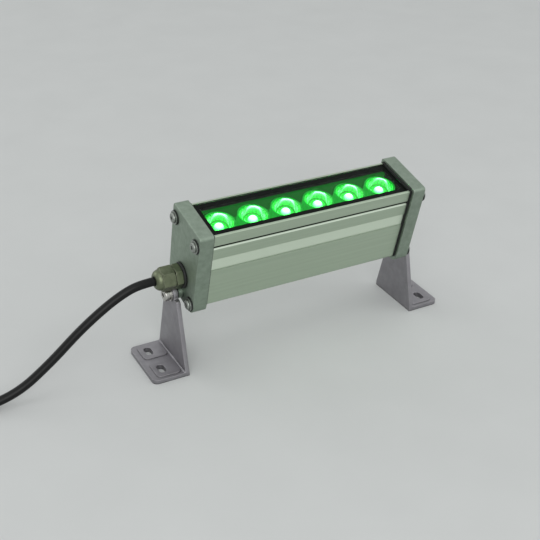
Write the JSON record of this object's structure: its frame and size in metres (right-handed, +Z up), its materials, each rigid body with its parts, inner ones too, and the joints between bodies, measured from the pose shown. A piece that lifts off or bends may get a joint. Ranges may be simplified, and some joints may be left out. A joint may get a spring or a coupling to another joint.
{
  "type": "outdoor wall washer light",
  "caption": "Linear wall washer light: an aluminium body with a glass window over a row of lenses, tilting between two slotted brackets, with a cable gland and a supply lead.",
  "frame": {"origin": "on the mounting surface under the middle of the lamp and its brackets", "axes": "+X along the lamp away from the cable gland, +Z up from the mounting surface, and the lamp leans towards -Y"},
  "size_m": [0.5371, 0.0552, 0.117],
  "materials": {
    "anodised_extrusion": "satin anodised, drawn along the extrusion",
    "cast_caps": "fine blasted and anodised",
    "brackets": "fine blasted and anodised",
    "black_rubber": "matt silicone rubber",
    "clear_glass": "clear toughened glass",
    "clear_lens": "clear moulded acrylic",
    "black_moulding": "moulded black",
    "circuit_board": "solder mask",
    "thermal_pad": "soft filled silicone",
    "led_package": "clear resin",
    "driver_parts": "moulded",
    "lead_red": "wire sleeve",
    "lead_black": "wire sleeve",
    "stainless_screws": "stainless steel",
    "nylon_washers": "black nylon",
    "plated_gland": "nickel plated, satin",
    "cord_jacket": "satin black jacket",
    "connector_plastic": "moulded nylon"
  },
  "bodies": {
    "brackets": {"left_bracket": "brackets", "right_bracket": "brackets", "power_cord": "cord_jacket", "connector_boot": "cord_jacket", "connector_body": "connector_plastic", "connector_pins": "plated_gland", "connector_o_ring": "black_rubber", "connector_collar": "connector_plastic"},
    "lamp": {"housing_extrusion": "anodised_extrusion", "cover_glass": "clear_glass", "left_end_cap": "cast_caps", "right_end_cap": "cast_caps", "left_cap_gasket": "black_rubber", "right_cap_gasket": "black_rubber", "left_pivot_bolt": "stainless_screws", "right_pivot_bolt": "stainless_screws", "gland_body": "plated_gland", "gland_dome_nut": "plated_gland", "left_cap_washers": "black_rubber", "right_cap_washers": "black_rubber", "left_cap_screws": "stainless_screws", "right_cap_screws": "stainless_screws", "left_friction_washer": "nylon_washers", "right_friction_washer": "nylon_washers", "left_flat_washer": "stainless_screws", "right_flat_washer": "stainless_screws", "left_spring_washer": "stainless_screws", "right_spring_washer": "stainless_screws", "gland_o_ring": "black_rubber", "thermal_pad": "thermal_pad", "led_board": "circuit_board", "board_screws": "stainless_screws", "led_emitters": "led_package", "lenses": "clear_lens", "lens_holders": "black_moulding", "driver_board": "circuit_board", "driver_components": "driver_parts", "shelf_grommet": "black_rubber", "lead_positive": "lead_red", "lead_negative": "lead_black", "supply_cores": "lead_black", "cord_tail": "cord_jacket", "gland_seal_bush": "black_rubber", "gland_locknut": "plated_gland", "glass_seal": "black_rubber"}
  },
  "joints": [
    {"name": "tilt", "type": "hinge", "parent": "brackets", "child": "lamp", "pos_m": [0, 0.00507, 0.054], "axis": [1, 0, 0], "range_deg": [-72, 48]}
  ]
}
